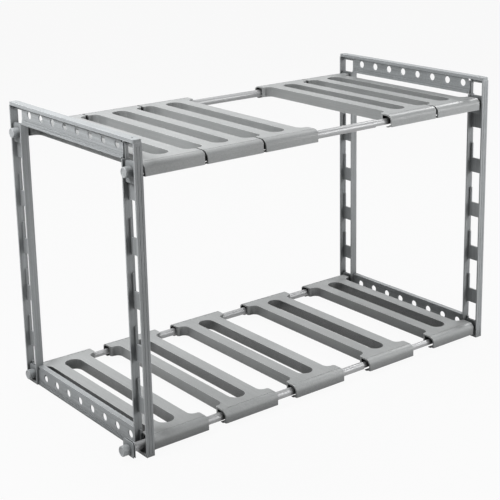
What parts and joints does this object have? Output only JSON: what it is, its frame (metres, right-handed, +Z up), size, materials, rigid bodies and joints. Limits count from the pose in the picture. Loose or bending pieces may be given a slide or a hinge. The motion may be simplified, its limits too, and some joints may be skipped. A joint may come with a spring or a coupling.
{
  "type": "under sink organizer",
  "caption": "Two-tier extending under sink organizer with ladder end frames, telescoping tubes and slotted shelf panels.",
  "frame": {"origin": "on the floor, at the middle of the whole length (pulled-out knob included) and of the depth", "axes": "+X along the length to the right end seen from the front, +Y to the back, +Z up"},
  "size_m": [0.6358, 0.3106, 0.4],
  "materials": {
    "frame_plastic": "fine-grained moulded grey plastic",
    "panel_plastic": "satin moulded grey plastic",
    "tube_steel": "smooth silver-grey coated steel",
    "clip_plastic": "moulded grey plastic",
    "knob_plastic": "moulded grey plastic"
  },
  "bodies": {
    "left_end": {"leg_fl": "frame_plastic", "leg_rl": "frame_plastic", "top_rail_l": "frame_plastic", "bottom_rail_l": "frame_plastic", "lower_panel_1": "panel_plastic", "upper_panel_1": "panel_plastic", "upper_panel_2": "panel_plastic", "upper_panel_3": "panel_plastic"},
    "right_end": {"leg_fr": "frame_plastic", "leg_rr": "frame_plastic", "top_rail_r": "frame_plastic", "bottom_rail_r": "frame_plastic", "lower_panel_5": "panel_plastic", "upper_panel_4": "panel_plastic", "upper_panel_5": "panel_plastic", "tube_lf_thin": "tube_steel", "tube_lr_thick": "tube_steel", "tube_uf_thin": "tube_steel", "tube_ur_thick": "tube_steel", "clip_lf_r": "clip_plastic", "clip_lr_r": "clip_plastic", "clip_uf_r": "clip_plastic", "clip_ur_r": "clip_plastic", "knob_lf_r": "knob_plastic", "knob_lr_r": "knob_plastic", "knob_uf_r": "knob_plastic", "knob_ur_r": "knob_plastic"},
    "tube_end_lf": {"tube_lf_thick": "tube_steel", "clip_lf_l": "clip_plastic", "knob_lf_l": "knob_plastic"},
    "tube_end_lr": {"tube_lr_thin": "tube_steel", "clip_lr_l": "clip_plastic", "knob_lr_l": "knob_plastic"},
    "tube_end_uf": {"tube_uf_thick": "tube_steel", "clip_uf_l": "clip_plastic", "knob_uf_l": "knob_plastic"},
    "tube_end_ur": {"tube_ur_thin": "tube_steel", "clip_ur_l": "clip_plastic", "knob_ur_l": "knob_plastic"},
    "panel_2": {"lower_panel_2": "panel_plastic"},
    "panel_3": {"lower_panel_3": "panel_plastic"},
    "panel_4": {"lower_panel_4": "panel_plastic"}
  },
  "joints": [
    {"name": "length_slide", "type": "slide", "parent": "left_end", "child": "right_end", "axis": [1, 0, 0], "range_m": [-0.125, 0.06]},
    {"name": "panel_2_slide", "type": "slide", "parent": "left_end", "child": "panel_2", "axis": [1, 0, 0], "range_m": [-0.02246, 0.01089]},
    {"name": "panel_3_slide", "type": "slide", "parent": "left_end", "child": "panel_3", "axis": [1, 0, 0], "range_m": [-0.04897, 0.02361]},
    {"name": "panel_4_slide", "type": "slide", "parent": "left_end", "child": "panel_4", "axis": [1, 0, 0], "range_m": [-0.09009, 0.04335]},
    {"name": "tube_end_lf_slide", "type": "slide", "parent": "left_end", "child": "tube_end_lf", "axis": [1, 0, 0], "range_m": [0, 0.0204]},
    {"name": "tube_end_lr_slide", "type": "slide", "parent": "left_end", "child": "tube_end_lr", "axis": [1, 0, 0], "range_m": [-0.0207, 0]},
    {"name": "tube_end_uf_slide", "type": "slide", "parent": "left_end", "child": "tube_end_uf", "axis": [1, 0, 0], "range_m": [-0.0207, 0]},
    {"name": "tube_end_ur_slide", "type": "slide", "parent": "left_end", "child": "tube_end_ur", "axis": [1, 0, 0], "range_m": [-0.0207, 0]}
  ],
  "couplings": [
    {"joint": "panel_2_slide", "follows": "length_slide", "ratio": 0.1781},
    {"joint": "panel_3_slide", "follows": "length_slide", "ratio": 0.3902},
    {"joint": "panel_4_slide", "follows": "length_slide", "ratio": 0.7191}
  ]
}
